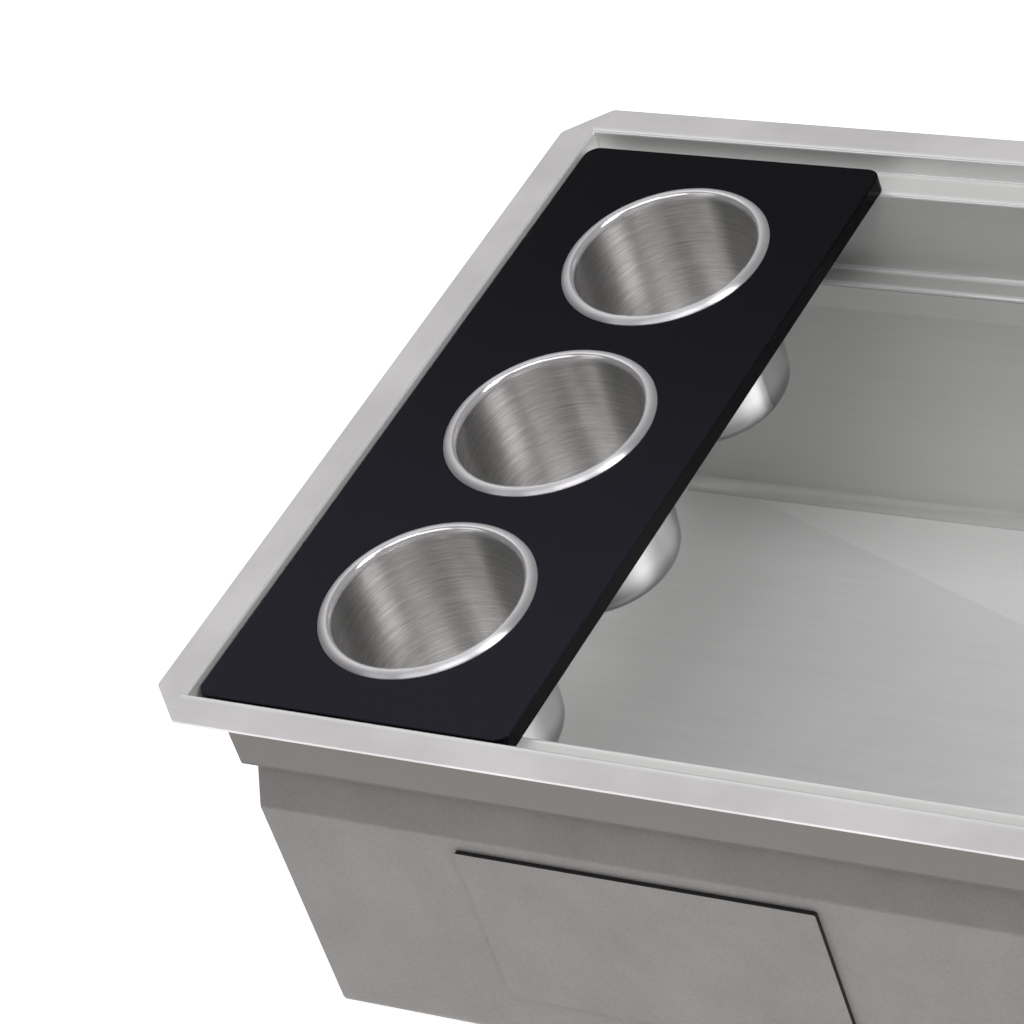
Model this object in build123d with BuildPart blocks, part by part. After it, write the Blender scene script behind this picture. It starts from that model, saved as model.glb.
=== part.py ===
from build123d import *
import os

# Undermount workstation sink with two ledges, a platform board that holds three cups, and a basket strainer.
# Origin: centre of the bowl opening, level with the rim's top face, which seats under the countertop.
# X runs along the sink to the right, Y from front to rear, Z up. Millimetres.

os.makedirs("parts", exist_ok=True)

# Shell: overall size and sheet
sink_length = 1143.0
sink_depth = 482.6
sheet = 1.5
rim_flange = 19.05
rim_corner_cut = 21.8
rim_corner_radius = 4.0

# Wall fold, measured inward from the rim's inner edge and down from the rim's top face
upper_ledge = 17.8
upper_drop = 12.7
lower_ledge = 15.2
lower_drop = 64.0
undercut_drop = 94.0
bowl_drop = 237.0
crest_inner_radius = 0.3
valley_radius = 1.5
undercut_radius = 3.0
bottom_radius = 6.0
weld_foot = 1.5

# Floor pan
end_margin = 45.0
pan_fall = 12.0
sump_length = 10.0
sump_width = 54.0
recess_margin = 3.5
recess_drop = 2.5
drain_hole_radius = 44.45

# Sound pads
pad_length = 200.5
pad_height = 102.0
pad_thickness = 2.5
pad_corner = 1.2
pad_top_drop = 101.5
pad_end_offset = 130.5
floor_pad_offset = 300.0

# Platform board
board_width = 177.8
board_thickness = 9.5
board_corner = 8.0
board_arris = 0.4
board_end_gap = 1.2
board_front_gap = 3.5
board_rear_gap = 9.2
end_cup_setback = 83.0

# Cups
cup_top_radius = 50.2
cup_taper = 6.2
cup_ledge_gap = 3.0
cup_drop = 97.0
cup_wall = 0.8
cup_corner = 11.0
cup_hole_clearance = 0.8
rim_overlap = 5.7
rim_rise = 2.6
rim_crest_inset = 4.1
rim_edge = 0.5
rim_neck = 3.5

# Strainer body, clamped through the drain hole
strainer_flange_reach = 12.5
strainer_flange = 2.0
strainer_wall = 2.2
strainer_drop = 42.0
strainer_base = 3.0
funnel_reach = 4.0
funnel_drop = 3.0
hole_clearance = 1.2
outlet_radius = 19.5
outlet_wall = 4.3
outlet_length = 18.0
spoke_width = 5.0
hub_radius = 7.0

# Gasket, washer and locknut under the floor
gasket_thickness = 3.0
gasket_width = 12.5
washer_thickness = 1.0
washer_width = 11.5
locknut_height = 9.0
locknut_wall = 8.5
locknut_lugs = 8
lug_reach = 5.0
lug_width = 11.0
thread_clearance = 0.3

# Basket
basket_clearance = 0.7
basket_wall = 0.8
basket_bottom_margin = 1.5
basket_bend = 3.0
basket_rim = 2.4
basket_rim_drop = 5.0
basket_slots = 12
slot_width = 3.2
slot_margin = 6.0
seal_thickness = 4.0
seal_overlap = 6.0
seal_chamfer = 0.8
post_radius = 4.0
post_clearance = 0.1
knob_radius = 9.0
knob_neck_radius = 6.0
knob_flat_radius = 2.0
knob_shoulder = 7.0
knob_height = 12.0
knob_bore_depth = 6.0
knob_rise = 4.0

# Tailpiece and its coupling
tailpiece_radius = 19.05
tailpiece_wall = 1.2
tailpiece_length = 100.0
tailpiece_flange = 1.5
tailpiece_swell = 0.4
swell_margin = 1.0
tail_washer_thickness = 2.0
coupling_wall = 4.0
coupling_overlap = 13.0
coupling_lip = 2.5
coupling_sides = 8

# Places that follow from those sizes
half_length = sink_length / 2
half_depth = sink_depth / 2
crest_radius = sheet + crest_inner_radius
bowl_half_length = half_length - rim_flange
opening_half_depth = half_depth - rim_flange
bowl_half_depth = opening_half_depth - upper_ledge
pan_half_depth = bowl_half_depth - bottom_radius - weld_foot
pan_half_run = bowl_half_length - end_margin
strainer_flange_radius = drain_hole_radius + strainer_flange_reach
recess_radius = strainer_flange_radius + recess_margin
pan_top = -bowl_drop
recess_floor = pan_top - pan_fall - recess_drop
floor_underside = recess_floor - sheet
board_bottom = -upper_drop
board_top = board_bottom + board_thickness
board_length = 2 * opening_half_depth - board_front_gap - board_rear_gap
board_x = -bowl_half_length + board_end_gap + board_width / 2
board_y = (board_front_gap - board_rear_gap) / 2
cup_pitch = board_length / 2 - end_cup_setback

# The cups taper, and by more if they would otherwise touch the nose of a lower ledge on their way down
ledge_depth = (board_top + lower_drop - rim_neck) / (cup_drop - rim_neck)
nose_distance = bowl_half_depth - lower_ledge - cup_pitch - abs(board_y)
taper_to_clear = (cup_top_radius - nose_distance + cup_ledge_gap) / ledge_depth
cup_bottom_radius = cup_top_radius - max(cup_taper, taper_to_clear)


# The walls' fold as a line on the bowl side, at the front: out from the rim's edge and down to the floor
def fold_points():
    nose = -bowl_half_depth + lower_ledge
    return [
        (-half_depth, 0),
        (-opening_half_depth, 0),
        (-opening_half_depth, -upper_drop),
        (-bowl_half_depth, -upper_drop),
        (-bowl_half_depth, -lower_drop),
        (nose, -lower_drop),
        (-bowl_half_depth, -undercut_drop),
        (-bowl_half_depth, -bowl_drop),
        (-pan_half_depth, -bowl_drop),
    ]


fold_radii = [
    crest_radius,
    valley_radius,
    crest_radius,
    valley_radius,
    crest_radius,
    undercut_radius,
    bottom_radius,
]


# Plan of the front panel: its rim meets the end panels in mitres, and its fold ends at their inner faces
def front_panel_plan():
    mitre = rim_corner_cut / 2
    return [
        (-half_length + rim_corner_cut, -half_depth),
        (half_length - rim_corner_cut, -half_depth),
        (half_length - mitre, -half_depth + mitre),
        (bowl_half_length, -opening_half_depth),
        (bowl_half_length, 0),
        (-bowl_half_length, 0),
        (-bowl_half_length, -opening_half_depth),
        (-half_length + mitre, -half_depth + mitre),
    ]


# Plan of the left end panel, with the other halves of the mitres
def left_panel_plan():
    mitre = rim_corner_cut / 2
    front_half = [
        (-bowl_half_length, -opening_half_depth),
        (-half_length + mitre, -half_depth + mitre),
        (-half_length, -half_depth + rim_corner_cut),
    ]
    return front_half + [(x, -y) for x, y in reversed(front_half)]


# Front and rear wall panels
with BuildPart() as front_wall:
    with BuildSketch(Plane.YZ.offset(-half_length)):
        with BuildLine():
            FilletPolyline(*fold_points(), radius=fold_radii)
            offset(amount=sheet, side=Side.RIGHT)
        make_face()
    extrude(amount=sink_length)
    with BuildSketch(Plane.XY.offset(-bowl_drop - 2 * sheet)) as plan:
        with BuildLine():
            Polyline(*front_panel_plan(), close=True)
        make_face()
        fillet(plan.vertices().group_by(Axis.Y)[0], radius=rim_corner_radius)
    extrude(amount=bowl_drop + 3 * sheet, mode=Mode.INTERSECT)
front_wall.part.label = "front_wall"
export_step(front_wall.part, "parts/front_wall.step")

# The rear panel is the front one turned about the sink's long axis plane
with BuildPart() as rear_wall:
    add(front_wall.part)
    mirror(about=Plane.XZ, mode=Mode.REPLACE)
rear_wall.part.label = "rear_wall"
export_step(rear_wall.part, "parts/rear_wall.step")

# End panels: a flat plate cut to the folded walls' outside, with its own strip of the rim bent over
with BuildPart() as left_end:
    plate_top = -crest_radius - sheet
    side_points = [(-opening_half_depth, plate_top)] + fold_points()[2:-1]
    mirrored_points = [(-y, z) for y, z in reversed(side_points)]
    side_radii = [0] + fold_radii[1:]
    with BuildSketch(Plane.YZ.offset(-bowl_half_length - sheet)):
        with BuildLine():
            FilletPolyline(*side_points, *mirrored_points, radius=side_radii + side_radii[::-1], close=True)
        make_face()
        offset(amount=sheet)
    extrude(amount=sheet)
    with BuildSketch(Plane.XZ.offset(-half_depth)):
        with BuildLine():
            FilletPolyline(
                (-half_length, 0),
                (-bowl_half_length, 0),
                (-bowl_half_length, plate_top),
                radius=crest_radius,
            )
            offset(amount=sheet, side=Side.RIGHT)
        make_face()
    extrude(amount=sink_depth)
    with BuildSketch(Plane.XY.offset(-bowl_drop - 2 * sheet)) as plan:
        with BuildLine():
            Polyline(*left_panel_plan(), close=True)
        make_face()
        fillet(plan.vertices().group_by(Axis.X)[0], radius=rim_corner_radius)
    extrude(amount=bowl_drop + 3 * sheet, mode=Mode.INTERSECT)
left_end.part.label = "left_end"
export_step(left_end.part, "parts/left_end.step")

with BuildPart() as right_end:
    add(left_end.part)
    mirror(about=Plane.YZ, mode=Mode.REPLACE)
right_end.part.label = "right_end"
export_step(right_end.part, "parts/right_end.step")


# Side view of the fall to the drain, from the level part of the pan to the sump
def fall_points(half_top, half_sump):
    return [
        (-half_top, pan_top),
        (-half_sump, pan_top - pan_fall),
        (half_sump, pan_top - pan_fall),
        (half_top, pan_top),
    ]


# The space over the four flat facets that fall to the drain: the fall along the sink, cut by the one across
with BuildPart() as facet_pit:
    with BuildSketch(Plane.XZ):
        with BuildLine():
            Polyline(*fall_points(pan_half_run, sump_length / 2), close=True)
        make_face()
    extrude(amount=pan_half_depth, both=True)
    with BuildSketch(Plane.YZ):
        with BuildLine():
            Polyline(*fall_points(pan_half_depth, sump_width / 2), close=True)
        make_face()
    extrude(amount=pan_half_run, both=True, mode=Mode.INTERSECT)

# Floor pan: that space lowered by the sheet and hollowed by itself, then the recess and the drain hole
with BuildPart() as floor_pan:
    with BuildSketch(Plane.XY.offset(pan_top - sheet)):
        Rectangle(2 * bowl_half_length, 2 * pan_half_depth)
    extrude(amount=sheet)
    with Locations((0, 0, -sheet)):
        add(facet_pit.part)
    with BuildSketch(Plane.XY.offset(floor_underside)):
        Circle(recess_radius + sheet)
    extrude(amount=pan_fall + recess_drop)
    add(facet_pit.part, mode=Mode.SUBTRACT)
    with BuildSketch(Plane.XY.offset(recess_floor)):
        Circle(recess_radius)
    extrude(amount=pan_fall + recess_drop, mode=Mode.SUBTRACT)
    with BuildSketch(Plane.XY.offset(floor_underside)):
        Circle(drain_hole_radius)
    extrude(amount=2 * sheet, mode=Mode.SUBTRACT)
floor_pan.part.label = "floor_pan"
export_step(floor_pan.part, "parts/floor_pan.step")


# A sound pad on a plane that lies on the shell's outside and faces away from it
def pad_on(plane):
    with BuildPart() as pad:
        with BuildSketch(plane):
            RectangleRounded(pad_length, pad_height, pad_corner)
        extrude(amount=pad_thickness)
    return pad


pad_x = half_length - pad_end_offset - pad_length / 2
pad_z = -pad_top_drop - pad_height / 2
facet_fall = pan_fall / (pan_half_run - sump_length / 2)
floor_pad_z = pan_top - sheet - facet_fall * (pan_half_run - floor_pad_offset)
pad_planes = {
    "front_pad_left": Plane((-pad_x, -bowl_half_depth - sheet, pad_z), x_dir=(1, 0, 0), z_dir=(0, -1, 0)),
    "front_pad_right": Plane((pad_x, -bowl_half_depth - sheet, pad_z), x_dir=(1, 0, 0), z_dir=(0, -1, 0)),
    "rear_pad_left": Plane((-pad_x, bowl_half_depth + sheet, pad_z), x_dir=(1, 0, 0), z_dir=(0, 1, 0)),
    "rear_pad_right": Plane((pad_x, bowl_half_depth + sheet, pad_z), x_dir=(1, 0, 0), z_dir=(0, 1, 0)),
    "left_end_pad": Plane((-bowl_half_length - sheet, 0, pad_z), x_dir=(0, 1, 0), z_dir=(-1, 0, 0)),
    "right_end_pad": Plane((bowl_half_length + sheet, 0, pad_z), x_dir=(0, 1, 0), z_dir=(1, 0, 0)),
    "floor_pad_left": Plane((-floor_pad_offset, 0, floor_pad_z), x_dir=(0, 1, 0), z_dir=(-facet_fall, 0, -1)),
    "floor_pad_right": Plane((floor_pad_offset, 0, floor_pad_z), x_dir=(0, 1, 0), z_dir=(facet_fall, 0, -1)),
}
for pad_name, pad_plane in pad_planes.items():
    sound_pad = pad_on(pad_plane)
    sound_pad.part.label = pad_name
    export_step(sound_pad.part, f"parts/{pad_name}.step")

# Platform board, resting on the two upper ledges at the left end
with BuildPart() as platform_board:
    with BuildSketch(Plane.XY.offset(board_bottom)):
        with Locations((board_x, board_y)):
            RectangleRounded(board_width, board_length, board_corner)
    extrude(amount=board_thickness)
    chamfer(platform_board.faces().filter_by(Axis.Z).edges(), length=board_arris)
    with BuildSketch(Plane.XY.offset(board_bottom)):
        with Locations((board_x, board_y)):
            with GridLocations(0, cup_pitch, 1, 3):
                Circle(cup_top_radius + cup_hole_clearance)
    extrude(amount=board_thickness, mode=Mode.SUBTRACT)
platform_board.part.label = "platform_board"
export_step(platform_board.part, "parts/platform_board.step")


# A cup that hangs in the board by its rolled rim: radii from its axis, heights from the board's top
def cup_at(y):
    inner_radius = cup_top_radius - cup_wall
    rim_radius = cup_top_radius + rim_overlap
    crest = (rim_radius - rim_crest_inset, rim_rise)
    inner_round = crest[0] - inner_radius
    with BuildPart() as cup:
        with BuildSketch(Plane((board_x, y, board_top), x_dir=(1, 0, 0), z_dir=(0, -1, 0))):
            with BuildLine():
                FilletPolyline(
                    (0, -cup_drop),
                    (cup_bottom_radius, -cup_drop),
                    (cup_top_radius, -rim_neck),
                    radius=[cup_corner],
                )
                offset(amount=cup_wall, side=Side.LEFT)
            make_face()
            with BuildLine():
                Polyline(
                    (inner_radius, rim_rise - inner_round),
                    (inner_radius, -rim_neck - cup_wall),
                    (cup_top_radius, -rim_neck),
                    (cup_top_radius, 0),
                    (rim_radius, 0),
                    (rim_radius, rim_edge),
                )
                TangentArc(crest, (rim_radius, rim_edge), tangent=(1, 0))
                TangentArc(crest, (inner_radius, rim_rise - inner_round), tangent=(-1, 0))
            make_face()
        revolve(axis=Axis((board_x, y, 0), (0, 0, 1)))
    return cup


for cup_name, cup_row in (("front_cup", -1), ("middle_cup", 0), ("rear_cup", 1)):
    steel_cup = cup_at(board_y + cup_row * cup_pitch)
    steel_cup.part.label = cup_name
    export_step(steel_cup.part, f"parts/{cup_name}.step")

# Strainer body: flange in the pan's recess, threaded wall through the drain hole, outlet with a cross
thread_radius = drain_hole_radius - hole_clearance
throat_radius = thread_radius - strainer_wall
seat = recess_floor - strainer_drop
outlet_outer = outlet_radius + outlet_wall
outlet_end = seat - strainer_base - outlet_length
flange_top = recess_floor + strainer_flange

with BuildPart() as strainer_body:
    with BuildSketch(Plane.XZ):
        with BuildLine():
            Polyline(
                (thread_radius, recess_floor),
                (strainer_flange_radius, recess_floor),
                (strainer_flange_radius, recess_floor + strainer_flange / 2),
                (strainer_flange_radius - strainer_flange, flange_top),
                (throat_radius + funnel_reach, flange_top),
                (throat_radius, flange_top - funnel_drop),
                (throat_radius, seat),
                (outlet_radius, seat),
                (outlet_radius, outlet_end),
                (outlet_outer, outlet_end),
                (outlet_outer, seat - strainer_base),
                (thread_radius, seat - strainer_base),
                close=True,
            )
        make_face()
    revolve(axis=Axis.Z)
    with BuildSketch(Plane.XY.offset(seat - strainer_base)) as cross:
        Rectangle(2 * outlet_radius, spoke_width)
        Rectangle(spoke_width, 2 * outlet_radius)
        Circle(hub_radius)
    extrude(amount=strainer_base)
strainer_body.part.label = "strainer_body"
export_step(strainer_body.part, "parts/strainer_body.step")

# Clamp stack under the floor
with BuildPart() as strainer_gasket:
    with BuildSketch(Plane.XY.offset(floor_underside)):
        Circle(drain_hole_radius + gasket_width)
        Circle(drain_hole_radius, mode=Mode.SUBTRACT)
    extrude(amount=-gasket_thickness)
strainer_gasket.part.label = "strainer_gasket"
export_step(strainer_gasket.part, "parts/strainer_gasket.step")

washer_top = floor_underside - gasket_thickness
with BuildPart() as friction_washer:
    with BuildSketch(Plane.XY.offset(washer_top)):
        Circle(drain_hole_radius + washer_width)
        Circle(drain_hole_radius, mode=Mode.SUBTRACT)
    extrude(amount=-washer_thickness)
friction_washer.part.label = "friction_washer"
export_step(friction_washer.part, "parts/friction_washer.step")

locknut_top = washer_top - washer_thickness
locknut_bore = thread_radius + thread_clearance
locknut_radius = locknut_bore + locknut_wall
with BuildPart() as strainer_locknut:
    with BuildSketch(Plane.XY.offset(locknut_top)):
        Circle(locknut_radius)
        with PolarLocations(locknut_radius, locknut_lugs):
            Rectangle(2 * lug_reach, lug_width)
        Circle(locknut_bore, mode=Mode.SUBTRACT)
    extrude(amount=-locknut_height)
strainer_locknut.part.label = "strainer_locknut"
export_step(strainer_locknut.part, "parts/strainer_locknut.step")

# Lift-out basket, standing on its rubber seal over the outlet
seal_radius = outlet_radius + seal_overlap
basket_floor = seat + seal_thickness
basket_top = recess_floor - basket_rim_drop
basket_rim_radius = throat_radius - basket_clearance
slot_height = basket_top - basket_floor - 2 * slot_margin
with BuildPart() as slot_cutter:
    with BuildSketch(Plane.YZ):
        with Locations((0, (basket_floor + basket_top) / 2)):
            SlotOverall(slot_height, slot_width, rotation=90)
    extrude(amount=basket_rim_radius)

with BuildPart() as basket:
    with BuildSketch(Plane.XZ):
        with BuildLine():
            FilletPolyline(
                (post_radius + post_clearance, basket_floor),
                (seal_radius + basket_bottom_margin, basket_floor),
                (basket_rim_radius - basket_rim, basket_top),
                (basket_rim_radius, basket_top),
                radius=[basket_bend, basket_wall],
            )
            offset(amount=basket_wall, side=Side.LEFT)
        make_face()
    revolve(axis=Axis.Z)
    with PolarLocations(0, basket_slots):
        add(slot_cutter.part, mode=Mode.SUBTRACT)
basket.part.label = "basket"
export_step(basket.part, "parts/basket.step")

with BuildPart() as basket_seal:
    with BuildSketch(Plane.XY.offset(seat)):
        Circle(seal_radius)
        Circle(post_radius + post_clearance, mode=Mode.SUBTRACT)
    extrude(amount=seal_thickness)
    rims = basket_seal.edges().filter_by(GeomType.CIRCLE).sort_by(SortBy.RADIUS)[-2:]
    chamfer(rims, length=seal_chamfer)
basket_seal.part.label = "basket_seal"
export_step(basket_seal.part, "parts/basket_seal.step")

knob_top = flange_top + knob_rise
knob_base = knob_top - knob_height
with BuildPart() as basket_post:
    with BuildSketch(Plane.XY.offset(seat)):
        Circle(post_radius)
    extrude(amount=knob_base + knob_bore_depth - seat)
basket_post.part.label = "basket_post"
export_step(basket_post.part, "parts/basket_post.step")

with BuildPart() as basket_knob:
    with BuildSketch(Plane.XZ):
        with BuildLine():
            Polyline(
                (knob_flat_radius, knob_top),
                (0, knob_top),
                (0, knob_base + knob_bore_depth),
                (post_radius + post_clearance, knob_base + knob_bore_depth),
                (post_radius + post_clearance, knob_base),
                (knob_neck_radius, knob_base),
            )
            widest = (knob_radius, knob_base + knob_shoulder)
            TangentArc((knob_neck_radius, knob_base), widest, tangent=(0, 1))
            EllipticalCenterArc(
                (knob_flat_radius, knob_base + knob_shoulder),
                knob_radius - knob_flat_radius,
                knob_height - knob_shoulder,
                start_angle=0,
                arc_size=90,
            )
        make_face()
    revolve(axis=Axis.Z)
basket_knob.part.label = "basket_knob"
export_step(basket_knob.part, "parts/basket_knob.step")

# Tailpiece hung from the outlet by its coupling nut, a little thicker inside the nut than on its free length
tail_inner = tailpiece_radius - tailpiece_wall
tail_flange_top = outlet_end - tail_washer_thickness
lip_top = tail_flange_top - tailpiece_flange
swell_radius = tailpiece_radius + tailpiece_swell
swell_end = lip_top - coupling_lip - swell_margin
with BuildPart() as tailpiece_washer:
    with BuildSketch(Plane.XY.offset(outlet_end)):
        Circle(outlet_outer)
        Circle(tail_inner, mode=Mode.SUBTRACT)
    extrude(amount=-tail_washer_thickness)
tailpiece_washer.part.label = "tailpiece_washer"
export_step(tailpiece_washer.part, "parts/tailpiece_washer.step")

with BuildPart() as tailpiece:
    with BuildSketch(Plane.XY.offset(tail_flange_top)):
        Circle(tailpiece_radius)
    extrude(amount=-tailpiece_length)
    with BuildSketch(Plane.XY.offset(tail_flange_top)):
        Circle(swell_radius)
    extrude(amount=swell_end - tail_flange_top)
    with BuildSketch(Plane.XY.offset(tail_flange_top)):
        Circle(outlet_outer)
    extrude(amount=-tailpiece_flange)
    with BuildSketch(Plane.XY.offset(tail_flange_top)):
        Circle(tail_inner)
    extrude(amount=-tailpiece_length, mode=Mode.SUBTRACT)
tailpiece.part.label = "tailpiece"
export_step(tailpiece.part, "parts/tailpiece.step")

coupling_radius = outlet_outer + thread_clearance + coupling_wall
coupling_top = outlet_end + coupling_overlap
with BuildPart() as coupling_nut:
    with BuildSketch(Plane.XY.offset(coupling_top)):
        RegularPolygon(coupling_radius, coupling_sides, major_radius=False)
    extrude(amount=lip_top - coupling_lip - coupling_top)
    with BuildSketch(Plane.XY.offset(coupling_top)):
        Circle(outlet_outer + thread_clearance)
    extrude(amount=lip_top - coupling_top, mode=Mode.SUBTRACT)
    with BuildSketch(Plane.XY.offset(lip_top)):
        Circle(swell_radius + thread_clearance)
    extrude(amount=-coupling_lip, mode=Mode.SUBTRACT)
    chamfer(coupling_nut.faces().sort_by(Axis.Z)[0].outer_wire().edges(), length=coupling_wall / 3)
coupling_nut.part.label = "coupling_nut"
export_step(coupling_nut.part, "parts/coupling_nut.step")
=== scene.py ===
import math

import bmesh
import bpy
from mathutils import Euler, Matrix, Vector


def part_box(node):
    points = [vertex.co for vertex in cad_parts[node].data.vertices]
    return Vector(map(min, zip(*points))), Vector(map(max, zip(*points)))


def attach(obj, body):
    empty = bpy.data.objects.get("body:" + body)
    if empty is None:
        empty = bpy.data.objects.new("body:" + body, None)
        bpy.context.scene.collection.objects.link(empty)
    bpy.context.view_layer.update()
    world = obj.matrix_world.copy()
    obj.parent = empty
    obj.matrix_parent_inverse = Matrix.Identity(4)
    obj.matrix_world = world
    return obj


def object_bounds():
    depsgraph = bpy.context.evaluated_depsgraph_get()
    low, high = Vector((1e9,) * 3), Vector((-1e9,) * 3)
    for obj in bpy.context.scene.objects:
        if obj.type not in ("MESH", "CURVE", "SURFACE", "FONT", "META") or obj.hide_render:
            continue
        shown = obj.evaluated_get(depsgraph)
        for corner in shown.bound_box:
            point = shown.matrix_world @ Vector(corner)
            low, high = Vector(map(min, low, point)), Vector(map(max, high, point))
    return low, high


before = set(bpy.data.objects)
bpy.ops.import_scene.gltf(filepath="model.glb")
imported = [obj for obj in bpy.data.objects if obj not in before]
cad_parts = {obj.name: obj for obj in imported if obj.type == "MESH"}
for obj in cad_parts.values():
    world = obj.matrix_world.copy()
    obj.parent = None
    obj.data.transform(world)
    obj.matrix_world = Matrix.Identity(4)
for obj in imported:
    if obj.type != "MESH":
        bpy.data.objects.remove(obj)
cad_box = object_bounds()

bl_info = {
    "name": "Workstation sink",
    "version": (1, 0, 0),
    "blender": (4, 5, 0),
    "location": "3D View > Sidebar > Sink",
    "description": "Finishes, screw threads and a studio for a ledge sink with a cup board and a strainer",
    "category": "Object",
}

MM = 0.001
WALL_NODES = ("front_wall", "rear_wall")
END_NODES = ("left_end", "right_end")
WALL_PADS = ("front_pad_left", "front_pad_right", "rear_pad_left", "rear_pad_right")
END_PADS = ("left_end_pad", "right_end_pad")
FLOOR_PADS = ("floor_pad_left", "floor_pad_right")
CUP_NODES = ("front_cup", "middle_cup", "rear_cup")
STRAINER_NODES = ("strainer_body", "basket", "basket_post", "basket_knob")
RUBBER_NODES = ("strainer_gasket", "basket_seal", "tailpiece_washer")

# The fold of the front and rear walls: the widths of its level faces, and how far down its ledges lie
RIM_FLANGE = 19.05 * MM
UPPER_LEDGE = 17.8 * MM
LOWER_LEDGE = 15.2 * MM
UPPER_LEDGE_DROP = 12.7 * MM
LOWER_LEDGE_DROP = 64 * MM
# How far its edges lie in front of or behind the middle of the sink
RIM_EDGE = cad_box[1][1] - RIM_FLANGE
UPPER_LEDGE_EDGE = RIM_EDGE - UPPER_LEDGE
LOWER_LEDGE_EDGE = UPPER_LEDGE_EDGE - LOWER_LEDGE
FOLD_LINES = (RIM_EDGE, UPPER_LEDGE_EDGE, LOWER_LEDGE_EDGE)

# Screw threads of the strainer body: their radii, and the height of the body's base between them
BODY_THREAD_RADIUS = 43.25 * MM
OUTLET_THREAD_RADIUS = 23.8 * MM
BODY_BASE = -296.5 * MM

# Near-white steel of the painted highlights on the shell's bends and folds
PAINTED_HIGHLIGHT_STEEL = (0.97, 0.97, 0.97)
BLACK_RUBBER = (0.020, 0.020, 0.021)
DARK_FIBRE = (0.30, 0.25, 0.19)
PALE_FIBRE = (0.52, 0.46, 0.37)
CAST_METAL = (0.33, 0.33, 0.34)
BRIGHT_PLATE = (0.43, 0.43, 0.44)


# Sizes and colours a user would change
class ShellFinish(bpy.types.PropertyGroup):
    rim: bpy.props.FloatVectorProperty(
        name="Rim steel", description="Bare steel on the rim's top face", subtype="COLOR", size=3,
        min=0, max=1, default=(0.765, 0.745, 0.757),
    )
    # The wall steel is darker than the rim and floor steel as painted shade on the walls: all three are the
    # same steel
    wall: bpy.props.FloatVectorProperty(
        name="Wall steel", description="Bare steel on the bowl side of the walls", subtype="COLOR", size=3,
        min=0, max=1, default=(0.68, 0.68, 0.67),
    )
    floor: bpy.props.FloatVectorProperty(
        name="Floor steel", description="Bare steel on the floor of the bowl", subtype="COLOR", size=3,
        min=0, max=1, default=(0.87, 0.87, 0.868),
    )
    # The outside steel's dark colour is painted shade, standing in for the dark reflection under the rim
    outside: bpy.props.FloatVectorProperty(
        name="Outside steel", description="Bare steel on the outside of the walls", subtype="COLOR", size=3,
        min=0, max=1, default=(0.172, 0.160, 0.151),
    )
    roughness: bpy.props.FloatProperty(
        name="Roughness", description="How matt the brushed steel is", subtype="FACTOR", min=0, max=1,
        default=0.44,
    )
    metal: bpy.props.FloatProperty(
        name="Metal", description="Share of the light that is mirrored, the rest is scattered",
        subtype="FACTOR", min=0, max=1, default=0.48,
    )
    grain_width: bpy.props.FloatProperty(
        name="Grain width", description="Distance from one brush line to the next", subtype="DISTANCE",
        unit="LENGTH", min=0.0001, max=0.01, default=0.0007,
    )
    grain_length: bpy.props.FloatProperty(
        name="Grain length", description="Length of one brush line", subtype="DISTANCE", unit="LENGTH",
        min=0.005, max=1, default=0.12,
    )


class CoatFinish(bpy.types.PropertyGroup):
    colour: bpy.props.FloatVectorProperty(
        name="Coat", description="Sprayed coat on the outside of the bowl", subtype="COLOR", size=3,
        min=0, max=1, default=(0.275, 0.263, 0.257),
    )
    top: bpy.props.FloatProperty(
        name="Top of the coat", description="Height under the rim where the spray begins", subtype="DISTANCE",
        unit="LENGTH", min=0, max=0.3, default=0.067,
    )
    edge: bpy.props.FloatVectorProperty(
        name="Pad edge", description="Cut edge of the sound pads", subtype="COLOR", size=3, min=0, max=1,
        default=(0.012, 0.012, 0.012),
    )


class BoardFinish(bpy.types.PropertyGroup):
    colour: bpy.props.FloatVectorProperty(
        name="Board", description="Dense black composite", subtype="COLOR", size=3, min=0, max=1,
        default=(0.0078, 0.0073, 0.0108),
    )
    roughness: bpy.props.FloatProperty(
        name="Roughness", description="How matt the board is", subtype="FACTOR", min=0, max=1, default=0.26,
    )


class CupFinish(bpy.types.PropertyGroup):
    inside: bpy.props.FloatVectorProperty(
        name="Inside", description="Steel brushed round the cup", subtype="COLOR", size=3, min=0, max=1,
        default=(0.76, 0.752, 0.744),
    )
    outside: bpy.props.FloatVectorProperty(
        name="Outside", description="Polished outside", subtype="COLOR", size=3, min=0, max=1,
        default=(0.47, 0.47, 0.475),
    )
    rim: bpy.props.FloatVectorProperty(
        name="Rim", description="Rolled rim", subtype="COLOR", size=3, min=0, max=1,
        default=(0.76, 0.74, 0.765),
    )
    rim_metal: bpy.props.FloatProperty(
        name="Rim metal", description="Share of the light that the rim mirrors, the rest is scattered",
        subtype="FACTOR", min=0, max=1, default=0.65,
    )
    brushing: bpy.props.FloatProperty(
        name="Brushing", description="How strongly the round brushing stretches the light", subtype="FACTOR",
        min=0, max=1, default=0.92,
    )


class DrainFinish(bpy.types.PropertyGroup):
    steel: bpy.props.FloatVectorProperty(
        name="Strainer", description="Satin steel of the strainer and basket", subtype="COLOR", size=3,
        min=0, max=1, default=(0.55, 0.55, 0.55),
    )
    thread_pitch: bpy.props.FloatProperty(
        name="Thread pitch", description="Rise of the body's screw thread in one turn", subtype="DISTANCE",
        unit="LENGTH", min=0.001, max=0.006, default=0.0023,
    )


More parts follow.
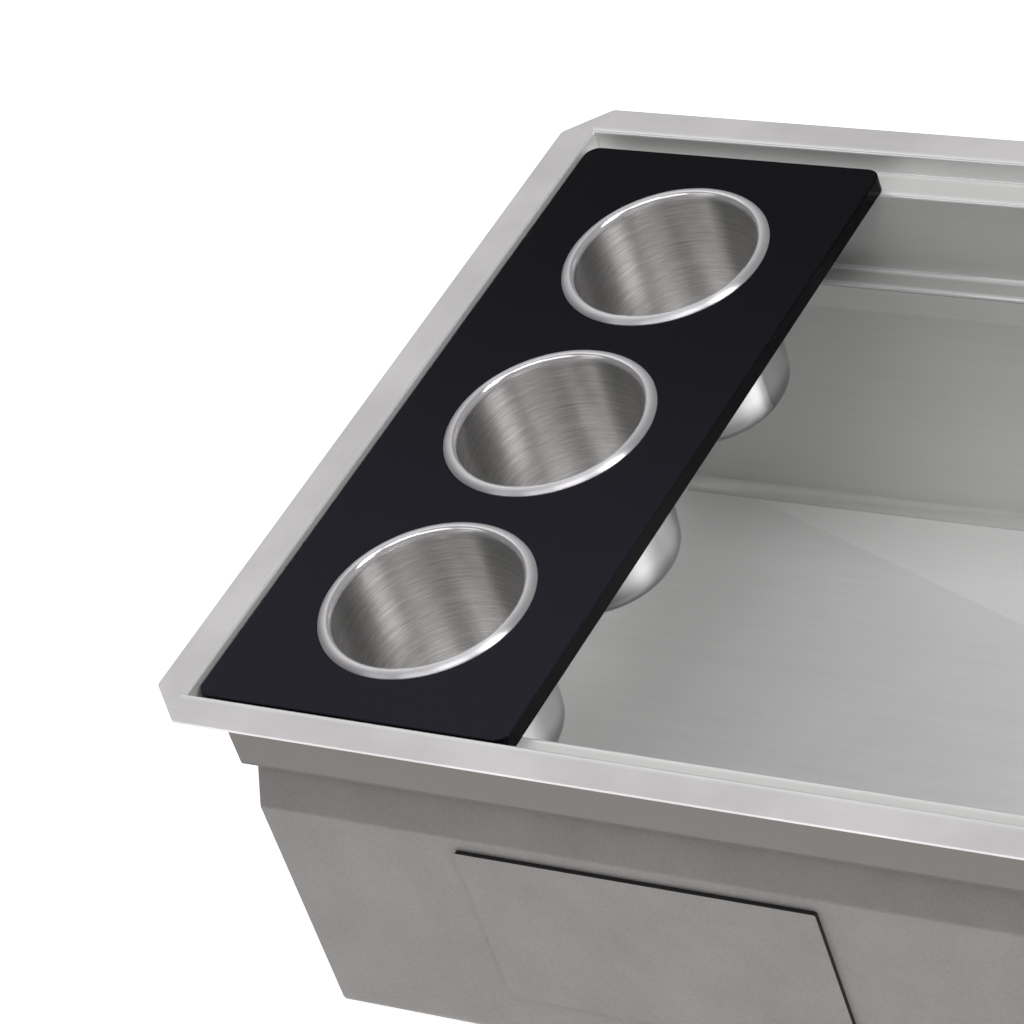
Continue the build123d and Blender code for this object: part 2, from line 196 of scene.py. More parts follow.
class StudioSettings(bpy.types.PropertyGroup):
    sky: bpy.props.FloatProperty(
        name="Room light", description="Even light from all sides", min=0, max=5, default=0.02,
    )
    backdrop: bpy.props.FloatProperty(
        name="Backdrop", description="How pale the space above the floor looks to the camera", min=0, max=2,
        default=1.0,
    )
    softboxes: bpy.props.FloatProperty(
        name="Softboxes", description="Brightness of all the large soft lights", min=0, max=5, default=1.0,
    )
    floor_glow: bpy.props.FloatProperty(
        name="Floor glow", description="How much the pale floor under the sink is lifted towards white",
        min=0, max=2, default=0.70,
    )
    floor: bpy.props.FloatVectorProperty(
        name="Floor", description="Plain pale floor", subtype="COLOR", size=3, min=0, max=1,
        default=(0.93, 0.93, 0.93),
    )


class SinkSettings(bpy.types.PropertyGroup):
    shell: bpy.props.PointerProperty(type=ShellFinish, name="Shell", description="Walls, ends and floor pan")
    coat: bpy.props.PointerProperty(type=CoatFinish, name="Coat", description="Sprayed coat and sound pads")
    board: bpy.props.PointerProperty(type=BoardFinish, name="Board", description="Platform board")
    cups: bpy.props.PointerProperty(type=CupFinish, name="Cups", description="Three steel cups")
    drain: bpy.props.PointerProperty(type=DrainFinish, name="Drain", description="Strainer, nuts and tube")
    studio: bpy.props.PointerProperty(type=StudioSettings, name="Studio", description="Light and floor")


def settings():
    return bpy.context.scene.sink


# Node building
def put(tree, kind, inputs=None, **options):
    """Adds a node. A socket given for an input is linked to it, anything else becomes its value."""
    node = tree.nodes.new(kind)
    for name, value in options.items():
        setattr(node, name, value)
    for key, value in (inputs or {}).items():
        if isinstance(value, bpy.types.NodeSocket):
            tree.links.new(value, node.inputs[key])
        else:
            node.inputs[key].default_value = value
    return node


def calc(tree, operation, first, second=0.0, third=0.0, clamp=False):
    node = put(tree, "ShaderNodeMath", {0: first, 1: second, 2: third}, operation=operation, use_clamp=clamp)
    return node.outputs[0]


def times(tree, first, second):
    return calc(tree, "MULTIPLY", first, second)


def vector_calc(tree, operation, first, second=(0, 0, 0)):
    node = put(tree, "ShaderNodeVectorMath", {0: first, 1: second}, operation=operation)
    return node.outputs["Value" if operation in ("DOT_PRODUCT", "LENGTH") else "Vector"]


def split(tree, vector):
    return put(tree, "ShaderNodeSeparateXYZ", {0: vector}).outputs


def join(tree, *values):
    return put(tree, "ShaderNodeCombineXYZ", dict(enumerate(values))).outputs[0]


def step(tree, value, low, high, to_low=0.0, to_high=1.0):
    """A smooth rise from to_low to to_high as the value goes from low to high."""
    node = put(
        tree, "ShaderNodeMapRange",
        {"Value": value, "From Min": low, "From Max": high, "To Min": to_low, "To Max": to_high},
        interpolation_type="SMOOTHSTEP",
    )
    return node.outputs["Result"]


def band(tree, value, low, high, edge):
    """One between low and high, with a smooth slope as wide as edge inside each end, and zero outside."""
    rise = step(tree, value, low, low + edge)
    return times(tree, rise, step(tree, value, high - edge, high, 1.0, 0.0))


def mix(tree, factor, first, second, blend="MIX"):
    """Mixes two colours. A constant is three numbers, and a socket of one value stands for a grey."""
    def colour(value):
        return value if isinstance(value, bpy.types.NodeSocket) else (*value[:3], 1.0)
    node = put(
        tree, "ShaderNodeMix",
        {0: factor, 6: colour(first), 7: colour(second)},
        data_type="RGBA", blend_type=blend,
    )
    return node.outputs[2]


def shaded(tree, colour, tone):
    """A colour made darker or lighter by a tone that changes over the surface."""
    return mix(tree, 1.0, colour, tone, blend="MULTIPLY")


def blend_value(tree, factor, first, second):
    node = put(tree, "ShaderNodeMix", {0: factor, 2: first, 3: second}, data_type="FLOAT")
    return node.outputs[0]


def noise(tree, vector, scale, detail=2.0, roughness=0.5):
    node = put(
        tree, "ShaderNodeTexNoise",
        {"Vector": vector, "Scale": scale, "Detail": detail, "Roughness": roughness},
        noise_dimensions="3D",
    )
    return node.outputs["Fac"]


def bump(tree, height, strength, distance):
    node = put(tree, "ShaderNodeBump", {"Height": height, "Strength": strength, "Distance": distance})
    return node.outputs["Normal"]


FLOAT, VECTOR, COLOUR = "NodeSocketFloat", "NodeSocketVector", "NodeSocketColor"


def new_group(name, inputs, outputs):
    """An empty shader group. Returns it with the sockets that feed it and the sockets that it fills."""
    group = bpy.data.node_groups.new(name, "ShaderNodeTree")
    for label, kind, value in inputs:
        socket = group.interface.new_socket(label, in_out="INPUT", socket_type=kind)
        if kind != VECTOR:
            socket.default_value = value
    for label, kind in outputs:
        group.interface.new_socket(label, in_out="OUTPUT", socket_type=kind)
    start = group.nodes.new("NodeGroupInput")
    end = group.nodes.new("NodeGroupOutput")
    return group, start.outputs, end.inputs


def brushed_grain_group():
    """Brush lines along the first axis of the vector, and soft clouds."""
    group, given, out = new_group(
        "Brushed grain",
        [("Vector", VECTOR, None), ("Width", FLOAT, 0.0007), ("Length", FLOAT, 0.12)],
        [("Lines", FLOAT), ("Clouds", FLOAT)],
    )
    parts = split(group, given["Vector"])
    along = calc(group, "DIVIDE", parts[0], given["Length"])
    across = [calc(group, "DIVIDE", parts[axis], given["Width"]) for axis in (1, 2)]
    lined = join(group, along, across[0], across[1])
    fine = noise(group, lined, 1.0, detail=3.0, roughness=0.65)
    stretched = vector_calc(group, "MULTIPLY", lined, (0.5, 0.16, 0.16))
    wide = noise(group, stretched, 1.0, detail=2.0)
    lines = calc(group, "MULTIPLY_ADD", fine, 0.6, times(group, wide, 0.4))
    clouds = noise(group, given["Vector"], 9.0, detail=4.0, roughness=0.55)
    group.links.new(lines, out["Lines"])
    group.links.new(clouds, out["Clouds"])


def round_brushing_group():
    """Fine lines that run round the Z axis of the vector, on walls and on flat rings alike."""
    group, given, out = new_group(
        "Round brushing", [("Vector", VECTOR, None), ("Width", FLOAT, 0.0005)], [("Lines", FLOAT)],
    )
    parts = split(group, given["Vector"])
    flat = join(group, parts[0], parts[1])
    turn = split(group, vector_calc(group, "NORMALIZE", flat))
    reach = calc(group, "ADD", parts[2], vector_calc(group, "LENGTH", flat))
    lines = []
    for spread, width in ((5.0, 1.0), (1.2, 3.0)):
        across = calc(group, "DIVIDE", reach, times(group, given["Width"], width))
        around = [times(group, turn[axis], spread) for axis in (0, 1)]
        lines.append(noise(group, join(group, *around, across), 1.0, detail=3.0, roughness=0.6))
    both = calc(group, "MULTIPLY_ADD", lines[0], 0.6, times(group, lines[1], 0.4))
    group.links.new(both, out["Lines"])


def sprayed_coat_group():
    """Speckle and patches of a sprayed coat: its colour, and the height of its grainy skin."""
    group, given, out = new_group(
        "Sprayed coat",
        [("Vector", VECTOR, None), ("Colour", COLOUR, (0.2, 0.2, 0.2, 1.0))],
        [("Colour", COLOUR), ("Height", FLOAT)],
    )
    speckle = noise(group, given["Vector"], 620.0, detail=3.0, roughness=0.7)
    patches = noise(group, given["Vector"], 26.0, detail=5.0, roughness=0.62)
    shade = calc(group, "MULTIPLY_ADD", speckle, 0.38, calc(group, "MULTIPLY_ADD", patches, 0.36, 0.61))
    group.links.new(shaded(group, given["Colour"], shade), out["Colour"])
    group.links.new(speckle, out["Height"])


def soft_marks_group():
    """Faint uneven marks that change how matt a surface is."""
    inputs = [
        ("Vector", VECTOR, None),
        ("Scale", FLOAT, 30.0),
        ("Amount", FLOAT, 0.05),
        ("Roughness", FLOAT, 0.4),
    ]
    group, given, out = new_group("Soft marks", inputs, [("Marks", FLOAT), ("Roughness", FLOAT)])
    marks = noise(group, given["Vector"], given["Scale"], detail=5.0, roughness=0.6)
    centred = calc(group, "SUBTRACT", marks, 0.5)
    rough = calc(group, "MULTIPLY_ADD", centred, given["Amount"], given["Roughness"])
    group.links.new(marks, out["Marks"])
    group.links.new(rough, out["Roughness"])


class SINK_OT_groups(bpy.types.Operator):
    """Builds the shader groups that the finishes share"""

    bl_idname = "sink.groups"
    bl_label = "Shared effects"

    def execute(self, context):
        brushed_grain_group()
        round_brushing_group()
        sprayed_coat_group()
        soft_marks_group()
        return {"FINISHED"}


def use(tree, group, **values):
    """Places a shared group in a tree, with its own values, and returns its output sockets."""
    node = tree.nodes.new("ShaderNodeGroup")
    node.node_tree = bpy.data.node_groups[group]
    for name, value in values.items():
        if isinstance(value, bpy.types.NodeSocket):
            tree.links.new(value, node.inputs[name])
        else:
            node.inputs[name].default_value = value
    return node.outputs


def new_material(name, **constants):
    """A material with one Principled shader, whose constant values are set by socket name."""
    material = bpy.data.materials.new(name)
    material.use_nodes = True
    tree = material.node_tree
    shader = tree.nodes["Principled BSDF"]
    for key, value in constants.items():
        shader.inputs[key.replace("_", " ")].default_value = value
    return material, tree, shader.inputs


def object_place(tree):
    return put(tree, "ShaderNodeTexCoord").outputs["Object"]


def dress(nodes, material):
    """Gives carried-over nodes their material."""
    for name in nodes:
        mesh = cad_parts[name].data
        mesh.materials.clear()
        mesh.materials.append(material)


def mesh_piece(name, mesh, material, body):
    """Turns a bmesh into a piece that moves with a body."""
    bmesh.ops.recalc_face_normals(mesh, faces=mesh.faces)
    data = bpy.data.meshes.new(name)
    mesh.to_mesh(data)
    mesh.free()
    data.materials.append(material)
    piece = bpy.data.objects.new(name, data)
    bpy.context.scene.collection.objects.link(piece)
    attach(piece, body)


# Shell
def faces_outside(tree, parts, normal):
    """How far a face points away from the bowl, outwards along X or Y or down, and a mask of such faces."""
    outward = [times(tree, normal[axis], calc(tree, "SIGN", parts[axis])) for axis in (0, 1)]
    facing = calc(tree, "SUBTRACT", calc(tree, "ADD", outward[0], outward[1]), normal[2])
    under_rim = step(tree, parts[2], -3.5 * MM, -1.6 * MM, 1.0, 0.0)
    return facing, times(tree, step(tree, facing, 0.05, 0.25), under_rim)


def spray_mask(tree, place, height, top):
    """Where the coat lies. It begins in an uneven line under the lower ledge."""
    wander = noise(tree, place, 38.0, detail=5.0, roughness=0.65)
    line = calc(tree, "MULTIPLY_ADD", wander, 12 * MM, height)
    return step(tree, line, 3 * MM - top, 9 * MM - top, 1.0, 0.0)


def painted_fold_highlights(tree, parts, level, above, facing, folds):
    """Painted highlights on the bends, weaker at the bottom and on the rim's outer edge, and painted
    highlights on the ledges beside the folds.
    """
    bend = times(tree, times(tree, level, calc(tree, "SUBTRACT", 1.0, level)), 4.0)
    bend = times(tree, bend, blend_value(tree, above, 0.45, 1.0))
    bend = times(tree, bend, step(tree, facing, -0.5, 0.1, 1.0, 0.45))
    away = calc(tree, "ABSOLUTE", parts[1])
    nearest = 1.0
    for fold in folds:
        nearest = calc(tree, "MINIMUM", nearest, calc(tree, "ABSOLUTE", calc(tree, "SUBTRACT", away, fold)))
    beside_fold = step(tree, nearest, 0.8 * MM, 4.5 * MM, 0.75, 0.0)
    return calc(tree, "MAXIMUM", bend, times(tree, times(tree, level, above), beside_fold))


def painted_bowl_shading(tree, parts, normal, level, above, upward):
    """Painted light and shade on the bowl side: painted shade on the lower ledge and under its nose, and a
    painted highlight on one facet of the floor.
    """
    under_nose = times(tree, band(tree, normal[2], -0.42, -0.02, 0.08), above)
    on_ledge = band(tree, parts[2], -LOWER_LEDGE_DROP - 1.5 * MM, -LOWER_LEDGE_DROP + 2 * MM, MM)
    on_ledge = times(tree, on_ledge, level)
    # Painted shade: the lower ledge and the turn under its nose are painted darker
    painted_ledge_shade = times(tree, blend_value(tree, under_nose, 1.0, 0.55), blend_value(tree, on_ledge, 1.0, 0.70))
    # Painted light: the facet that falls to the drain from the rear is painted brighter than the other three
    painted_facet_light = step(tree, normal[1], -0.055, -0.035, 1.10, 1.0)
    return times(tree, painted_ledge_shade, blend_value(tree, upward, 1.0, painted_facet_light))


def shell_material(name, bowl_steel, along_x=True, folds=()):
    shell, coat = settings().shell, settings().coat
    material, tree, shader = new_material(name)
    place = object_place(tree)
    parts = split(tree, place)
    height = parts[2]
    order = (0, 1, 2) if along_x else (1, 0, 2)
    lengthwise = join(tree, *[parts[axis] for axis in order])
    grain = use(tree, "Brushed grain", Vector=lengthwise, Width=shell.grain_width, Length=shell.grain_length)

    normal = split(tree, put(tree, "ShaderNodeTexCoord").outputs["Normal"])
    upward = calc(tree, "GREATER_THAN", normal[2], 0.0)
    level = times(tree, times(tree, normal[2], normal[2]), upward)
    above = step(tree, height, -80 * MM, -75 * MM)
    facing, outside = faces_outside(tree, parts, normal)
    coated = times(tree, spray_mask(tree, place, height, coat.top), outside)
    sprayed = use(tree, "Sprayed coat", Vector=place, Colour=(*coat.colour, 1.0))
    painted_fold_light = painted_fold_highlights(tree, parts, level, above, facing, folds)
    painted_highlight = times(tree, painted_fold_light, calc(tree, "SUBTRACT", 1.0, outside))

    # The rim is cloudy, and the upper wall and ledge are painted a little brighter than the wall under them,
    # as painted light
    clouds = noise(tree, place, 14.0, detail=3.0, roughness=0.55)
    rim = shaded(tree, shell.rim, step(tree, clouds, 0.32, 0.68, 0.93, 1.07))
    upper = step(tree, height, -UPPER_LEDGE_DROP - 1.8 * MM, -UPPER_LEDGE_DROP - 0.8 * MM, 1.0, 1.13)
    bare = mix(tree, step(tree, height, -2.5 * MM, -1.5 * MM), shaded(tree, bowl_steel, upper), rim)
    steel = mix(tree, outside, bare, shell.outside)
    tone = calc(tree, "MULTIPLY_ADD", grain["Lines"], 0.16, 0.92)
    tone = times(tree, tone, calc(tree, "MULTIPLY_ADD", grain["Clouds"], 0.14, 0.93))
    tone = times(tree, tone, painted_bowl_shading(tree, parts, normal, level, above, upward))
    # Painted highlights: the steel is mixed towards near-white along the bends and beside the folds
    steel = mix(tree, painted_highlight, shaded(tree, steel, tone), PAINTED_HIGHLIGHT_STEEL)
    tree.links.new(mix(tree, coated, steel, sprayed["Colour"]), shader["Base Color"])
    tree.links.new(blend_value(tree, coated, shell.metal, 0.0), shader["Metallic"])
    rough = calc(tree, "MULTIPLY_ADD", grain["Lines"], 0.14, shell.roughness - 0.07)
    rough = calc(tree, "MULTIPLY_ADD", grain["Clouds"], 0.06, rough)
    rough = blend_value(tree, painted_highlight, rough, 0.24)
    tree.links.new(blend_value(tree, coated, rough, 0.72), shader["Roughness"])
    skin = blend_value(tree, coated, grain["Lines"], times(tree, sprayed["Height"], 4.0))
    tree.links.new(bump(tree, skin, 0.35, 0.05 * MM), shader["Normal"])
    return material


class SINK_OT_shell(bpy.types.Operator):
    """Brushed steel walls, ends and floor pan, sprayed on the outside"""

    bl_idname = "sink.shell"
    bl_label = "Shell"

    def execute(self, context):
        shell = settings().shell
        # The walls and ends take the darker wall steel, which is painted shade
        dress(WALL_NODES, shell_material("Wall steel brushed along the sink", shell.wall, folds=FOLD_LINES))
        dress(END_NODES, shell_material("Wall steel brushed across the sink", shell.wall, along_x=False))
        dress(["floor_pan"], shell_material("Floor steel brushed along the sink", shell.floor))
        return {"FINISHED"}


# Sound pads
def pad_material(name, thin_axis):
    """Sprayed faces, and bare black edges where the sheet was cut."""
    coat = settings().coat
    material, tree, shader = new_material(name, Roughness=0.75)
    place = object_place(tree)
    sprayed = use(tree, "Sprayed coat", Vector=place, Colour=(*coat.colour, 1.0))
    normal = split(tree, put(tree, "ShaderNodeTexCoord").outputs["Normal"])
    flat = step(tree, calc(tree, "ABSOLUTE", normal[thin_axis]), 0.5, 0.8)
    tree.links.new(mix(tree, flat, coat.edge, sprayed["Colour"]), shader["Base Color"])
    tree.links.new(bump(tree, sprayed["Height"], 0.5, 0.2 * MM), shader["Normal"])
    return material


class SINK_OT_pads(bpy.types.Operator):
    """Sound pads: rubber sheets under the same sprayed coat, with black cut edges"""

    bl_idname = "sink.pads"
    bl_label = "Sound pads"

    def execute(self, context):
        for name, axis, nodes in (
            ("Sprayed rubber pad on an end", 0, END_PADS),
            ("Sprayed rubber pad on a wall", 1, WALL_PADS),
            ("Sprayed rubber pad under the floor", 2, FLOOR_PADS),
        ):
            dress(nodes, pad_material(name, axis))
        return {"FINISHED"}


# Platform board
class SINK_OT_board(bpy.types.Operator):
    """Platform board of dense black composite"""

    bl_idname = "sink.board"
    bl_label = "Platform board"

    def execute(self, context):
        board = settings().board
        material, tree, shader = new_material("Black composite")
        shader["Specular IOR Level"].default_value = 0.04
        place = object_place(tree)
        low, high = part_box("platform_board")
        marks = use(tree, "Soft marks", Vector=place, Scale=22.0, Amount=0.10, Roughness=board.roughness)
        fleck = noise(tree, place, 900.0, detail=2.0)
        # The sides are painted almost black as painted shade, and the top is painted lighter towards the
        # front as a painted reflection
        normal = split(tree, put(tree, "ShaderNodeTexCoord").outputs["Normal"])
        sides = step(tree, calc(tree, "ABSOLUTE", normal[2]), 0.3, 0.9, 0.1, 1.0)
        painted_front_light = step(tree, split(tree, place)[1], low[1], high[1], 2.1, 0.55)
        tone = calc(tree, "MULTIPLY_ADD", fleck, 0.5, 0.75)
        tone = times(tree, tone, times(tree, painted_front_light, sides))
        tree.links.new(shaded(tree, board.colour, tone), shader["Base Color"])
        tree.links.new(marks["Roughness"], shader["Roughness"])
        tree.links.new(bump(tree, fleck, 0.15, 0.03 * MM), shader["Normal"])
        dress(["platform_board"], material)
        return {"FINISHED"}


# Cups
def cup_material():
    cups = settings().cups
    material, tree, shader = new_material("Steel brushed round", Anisotropic=cups.brushing)
    shader["Anisotropic Rotation"].default_value = 0.25

    # Places are measured from the cup's own axis and from the top of its rim, in metres
    low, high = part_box(CUP_NODES[0])
    size = Vector(high) - Vector(low)
    shares = put(tree, "ShaderNodeTexCoord").outputs["Generated"]
    place = vector_calc(tree, "MULTIPLY", vector_calc(tree, "SUBTRACT", shares, (0.5, 0.5, 1.0)), tuple(size))
    parts = split(tree, place)
    flat = join(tree, parts[0], parts[1])
    radius = vector_calc(tree, "LENGTH", flat)
    normal = put(tree, "ShaderNodeTexCoord").outputs["Normal"]
    outward = vector_calc(tree, "DOT_PRODUCT", vector_calc(tree, "NORMALIZE", flat), normal)
    inside = step(tree, calc(tree, "SUBTRACT", split(tree, normal)[2], outward), -0.1, 0.1)
    on_rim = step(tree, parts[2], -4.2 * MM, -3.4 * MM)
    brushed = use(tree, "Round brushing", Vector=place, Width=0.4 * MM)

    # Painted shade darkens the outside on its bottom bend, and a painted highlight brightens the rim along
    # its inner half
    round_steel = shaded(tree, cups.inside, step(tree, brushed["Lines"], 0.30, 0.70, 0.76, 1.20))
    polished = shaded(tree, cups.outside, step(tree, parts[2], -94 * MM, -78 * MM, 0.30, 1.0))
    rim = shaded(tree, cups.rim, step(tree, radius, 50 * MM, 53 * MM, 1.22, 0.97))
    steel = mix(tree, inside, polished, round_steel)
    tree.links.new(mix(tree, on_rim, steel, rim), shader["Base Color"])
    tree.links.new(step(tree, on_rim, 0.0, 1.0, 1.0, cups.rim_metal), shader["Metallic"])
    rough = calc(tree, "MULTIPLY_ADD", brushed["Lines"], 0.16, 0.265)
    rough = blend_value(tree, inside, 0.13, rough)
    rim_rough = step(tree, radius, 50.5 * MM, 53 * MM, 0.16, 0.34)
    tree.links.new(blend_value(tree, on_rim, rough, rim_rough), shader["Roughness"])
    carved = times(tree, brushed["Lines"], calc(tree, "SUBTRACT", inside, on_rim, clamp=True))
    tree.links.new(bump(tree, carved, 0.5, 0.08 * MM), shader["Normal"])
    return material


class SINK_OT_cups(bpy.types.Operator):
    """Three cups: brushed round inside, polished outside and on the rolled rim"""

    bl_idname = "sink.cups"
    bl_label = "Cups"

    def execute(self, context):
        dress(CUP_NODES, cup_material())
        return {"FINISHED"}


# Strainer, basket and tailpiece
def turned_metal(name, colour, roughness, lines):
    """Metal with fine lathe or brush lines round the drain's axis."""
    material, tree, shader = new_material(name, Metallic=1.0)
    place = object_place(tree)
    brushed = use(tree, "Round brushing", Vector=place, Width=0.5 * MM)
    marks = use(tree, "Soft marks", Vector=place, Scale=45.0, Amount=0.08, Roughness=roughness)
    tone = calc(tree, "MULTIPLY_ADD", brushed["Lines"], lines, 1.0 - lines / 2)
    tree.links.new(shaded(tree, colour, tone), shader["Base Color"])
    tree.links.new(marks["Roughness"], shader["Roughness"])
    tree.links.new(bump(tree, brushed["Lines"], lines, 0.08 * MM), shader["Normal"])
    return material


def screw_thread(name, radius, top, bottom, pitch, material):
    """A screw thread wound round the drain's axis as one long wedge, which runs out at both ends."""
    steps_per_turn = 72
    foot = radius - 0.10 * MM
    half_foot = 0.46 * pitch
    half_crest = 0.08 * pitch
    height = 0.24 * pitch
    sunk_at_end = 0.1
    run_out = steps_per_turn / 4
    count = int((top - bottom) / pitch * steps_per_turn)
    mesh = bmesh.new()
    rings = []
    for i in range(count + 1):
        angle = 2 * math.pi * i / steps_per_turn
        middle = top + (bottom - top) * i / count
        crest = radius + height * (min(i, count - i, run_out) / run_out - sunk_at_end)
        ring = []
        for reach, rise in ((foot, half_foot), (crest, half_crest), (crest, -half_crest), (foot, -half_foot)):
            ring.append(mesh.verts.new((reach * math.cos(angle), reach * math.sin(angle), middle + rise)))
        rings.append(ring)
    for before, after in zip(rings, rings[1:]):
        for j in range(4):
            k = (j + 1) % 4
            mesh.faces.new((before[j], before[k], after[k], after[j]))
    mesh.faces.new(rings[0][::-1])
    mesh.faces.new(rings[-1])
    mesh_piece(name, mesh, material, "root")


class SINK_OT_strainer(bpy.types.Operator):
    """Strainer body and lift-out basket of satin steel, with the screw threads on the body"""

    bl_idname = "sink.strainer"
    bl_label = "Strainer and basket"

    def execute(self, context):
        drain = settings().drain
        satin = turned_metal("Satin steel", drain.steel, 0.24, 0.25)
        dress(STRAINER_NODES, satin)
        under_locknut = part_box("strainer_locknut")[0][2]
        over_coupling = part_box("coupling_nut")[1][2]
        pitch = drain.thread_pitch
        fine = pitch / 2
        screw_thread(
            "strainer_thread", BODY_THREAD_RADIUS, under_locknut - pitch / 2, BODY_BASE + pitch, pitch, satin,
        )
        screw_thread(
            "outlet_thread", OUTLET_THREAD_RADIUS, BODY_BASE - fine, over_coupling + fine / 2, fine, satin,
        )
        return {"FINISHED"}


class SINK_OT_seals(bpy.types.Operator):
    """Rubber gasket, basket seal and tailpiece washer, and the fibre friction washer"""

    bl_idname = "sink.seals"
    bl_label = "Seals and washers"

    def execute(self, context):
        rubber, tree, shader = new_material("Black rubber")
        place = object_place(tree)
        marks = use(tree, "Soft marks", Vector=place, Scale=60.0, Amount=0.2, Roughness=0.62)
        tone = calc(tree, "MULTIPLY_ADD", marks["Marks"], 0.5, 0.75)
        tree.links.new(shaded(tree, BLACK_RUBBER, tone), shader["Base Color"])
        tree.links.new(marks["Roughness"], shader["Roughness"])
        tree.links.new(bump(tree, noise(tree, place, 1500.0), 0.2, 0.05 * MM), shader["Normal"])
        dress(RUBBER_NODES, rubber)

        fibre, tree, shader = new_material("Pressed fibre")
        place = object_place(tree)
        marks = use(tree, "Soft marks", Vector=place, Scale=380.0, Amount=0.2, Roughness=0.8)
        threads = noise(tree, vector_calc(tree, "MULTIPLY", place, (1.0, 6.0, 1.0)), 240.0, detail=4.0)
        tree.links.new(mix(tree, threads, DARK_FIBRE, PALE_FIBRE), shader["Base Color"])
        tree.links.new(marks["Roughness"], shader["Roughness"])
        tree.links.new(bump(tree, threads, 0.4, 0.1 * MM), shader["Normal"])
        dress(["friction_washer"], fibre)
        return {"FINISHED"}


class SINK_OT_nuts(bpy.types.Operator):
    """Cast locknut and coupling nut"""

    bl_idname = "sink.nuts"
    bl_label = "Nuts"

    def execute(self, context):
        material, tree, shader = new_material("Dull cast metal", Metallic=1.0)
        place = object_place(tree)
        marks = use(tree, "Soft marks", Vector=place, Scale=70.0, Amount=0.18, Roughness=0.42)
        skin = noise(tree, place, 900.0, detail=4.0, roughness=0.7)
        tone = calc(tree, "MULTIPLY_ADD", marks["Marks"], 0.4, 0.8)
        tree.links.new(shaded(tree, CAST_METAL, tone), shader["Base Color"])
        tree.links.new(marks["Roughness"], shader["Roughness"])
        tree.links.new(bump(tree, skin, 0.5, 0.2 * MM), shader["Normal"])
        dress(("strainer_locknut", "coupling_nut"), material)
        return {"FINISHED"}


class SINK_OT_tailpiece(bpy.types.Operator):
    """Bright plated tailpiece"""

    bl_idname = "sink.tailpiece"
    bl_label = "Tailpiece"

    def execute(self, context):
        dress(["tailpiece"], turned_metal("Bright plate", BRIGHT_PLATE, 0.14, 0.14))
        return {"FINISHED"}


# Studio
LIT_POINT = Vector((-0.3, 0, -0.1))
LIGHT_DISTANCE = 7.2
# Name, direction round the sink from +X in degrees, height in degrees, side in metres, brightness
SOFTBOXES = (
    ("softbox_right_low", 0, 35, 2.4, 11.2),
    ("softbox_right_high", 5, 60, 2.26, 7.5),
    ("softbox_front_right", 311, 62, 3.0, 4.2),
    ("softbox_front", 270, 50, 3.6, 1.8),
    ("softbox_front_left", 232, 38, 3.0, 1.0),
    ("softbox_back_low", 131, 38, 6.0, 0.47),
    ("softbox_back_left", 145, 52, 3.0, 0.75),
    ("softbox_top", 0, 90, 4.8, 0.2),
)
FLOOR_HALF_WIDTH = 12
FLOOR_GAP = 5 * MM
# The camera's lens in millimetres on a sensor 36 wide, its place in metres and its turn in degrees
SENSOR_WIDTH = 36
CAMERA_LENS = 171.918
CAMERA_PLACE = (0.80755, -1.51261, 1.45939)
CAMERA_TURN = (50.7865, 16.2178, 28.2060)


def soft_light(name, turn, rise, side, brightness):
    """A square area light that faces the lit point. Its brightness is the radiance of its face."""
    turn, rise = math.radians(turn), math.radians(rise)
    way = Vector((math.cos(rise) * math.cos(turn), math.cos(rise) * math.sin(turn), math.sin(rise)))
    data = bpy.data.lights.new(name, "AREA")
    data.size = side
    data.energy = brightness * math.pi * side ** 2
    light = bpy.data.objects.new(name, data)
    light.location = LIT_POINT + LIGHT_DISTANCE * way
    light.rotation_euler = way.to_track_quat("Z", "Y").to_euler()
    light.visible_camera = False
    bpy.context.scene.collection.objects.link(light)


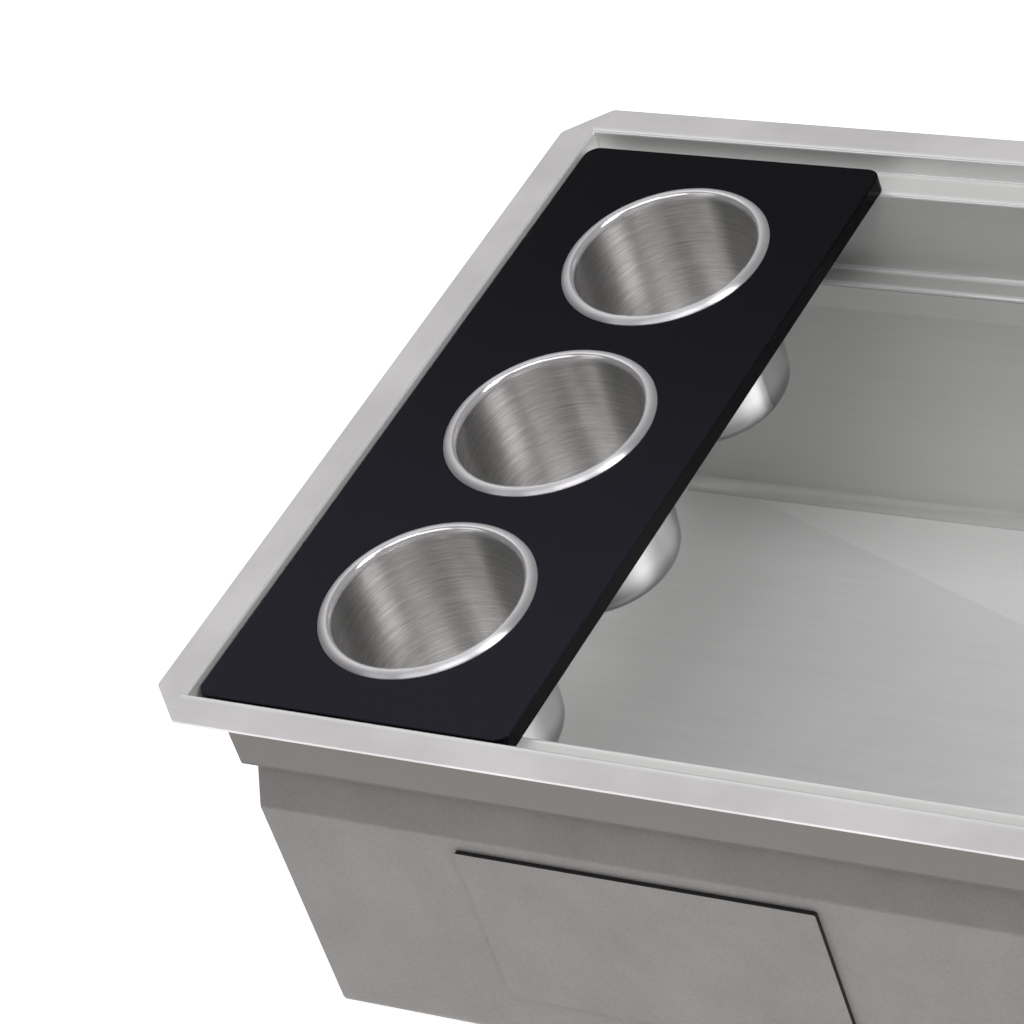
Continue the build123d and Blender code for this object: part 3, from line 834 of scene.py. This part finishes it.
class SINK_OT_stage(bpy.types.Operator):
    """Plain pale floor, soft studio light and the camera"""

    bl_idname = "sink.stage"
    bl_label = "Studio"

    def execute(self, context):
        studio = settings().studio
        scene = context.scene
        scene.view_settings.view_transform = "Standard"

        world = bpy.data.worlds.new("Dim room behind a pale backdrop")
        world.use_nodes = True
        tree = world.node_tree
        seen = put(tree, "ShaderNodeLightPath").outputs["Is Camera Ray"]
        background = tree.nodes["Background"]
        background.inputs["Color"].default_value = (1, 1, 1, 1)
        tree.links.new(blend_value(tree, seen, studio.sky, studio.backdrop), background.inputs["Strength"])
        scene.world = world

        mesh = bmesh.new()
        bmesh.ops.create_grid(mesh, x_segments=1, y_segments=1, size=FLOOR_HALF_WIDTH)
        data = bpy.data.meshes.new("floor")
        mesh.to_mesh(data)
        mesh.free()
        material, tree, shader = new_material("Pale floor", Roughness=0.9)
        shader["Base Color"].default_value = (*studio.floor, 1)
        shader["Emission Strength"].default_value = 1.0
        # Far from the sink the lights fade, so the glow grows to hide the horizon
        reach = vector_calc(tree, "LENGTH", object_place(tree))
        tree.links.new(step(tree, reach, 1.0, 5.0, studio.floor_glow, 1.0), shader["Emission Color"])
        data.materials.append(material)
        floor = bpy.data.objects.new("floor", data)
        floor.location.z = cad_box[0][2] - FLOOR_GAP
        scene.collection.objects.link(floor)

        for name, turn, rise, side, brightness in SOFTBOXES:
            soft_light(name, turn, rise, side, brightness * studio.softboxes)

        camera_data = bpy.data.cameras.new("camera")
        camera_data.sensor_width = SENSOR_WIDTH
        camera_data.lens = CAMERA_LENS
        camera = bpy.data.objects.new("camera", camera_data)
        camera.location = CAMERA_PLACE
        camera.rotation_euler = Euler([math.radians(angle) for angle in CAMERA_TURN], "XYZ")
        scene.collection.objects.link(camera)
        scene.camera = camera
        return {"FINISHED"}


STEPS = ("groups", "shell", "pads", "board", "cups", "strainer", "seals", "nuts", "tailpiece", "stage")


class SINK_PT_panel(bpy.types.Panel):
    bl_label = "Workstation sink"
    bl_idname = "SINK_PT_panel"
    bl_space_type = "VIEW_3D"
    bl_region_type = "UI"
    bl_category = "Sink"

    def draw(self, context):
        layout = self.layout
        for part in ("shell", "coat", "board", "cups", "drain", "studio"):
            box = layout.box()
            box.label(text=part.capitalize())
            group = getattr(context.scene.sink, part)
            for name in type(group).__annotations__:
                box.prop(group, name)
        for step_name in STEPS:
            layout.operator(f"sink.{step_name}")


CLASSES = (
    ShellFinish,
    CoatFinish,
    BoardFinish,
    CupFinish,
    DrainFinish,
    StudioSettings,
    SinkSettings,
    SINK_OT_groups,
    SINK_OT_shell,
    SINK_OT_pads,
    SINK_OT_board,
    SINK_OT_cups,
    SINK_OT_strainer,
    SINK_OT_seals,
    SINK_OT_nuts,
    SINK_OT_tailpiece,
    SINK_OT_stage,
    SINK_PT_panel,
)


def register():
    for each in CLASSES:
        bpy.utils.register_class(each)
    bpy.types.Scene.sink = bpy.props.PointerProperty(type=SinkSettings)


def unregister():
    del bpy.types.Scene.sink
    for each in reversed(CLASSES):
        bpy.utils.unregister_class(each)


def main():
    register()
    for step_name in STEPS:
        getattr(bpy.ops.sink, step_name)()
    bpy.context.view_layer.update()


if __name__ == "__main__":
    main()
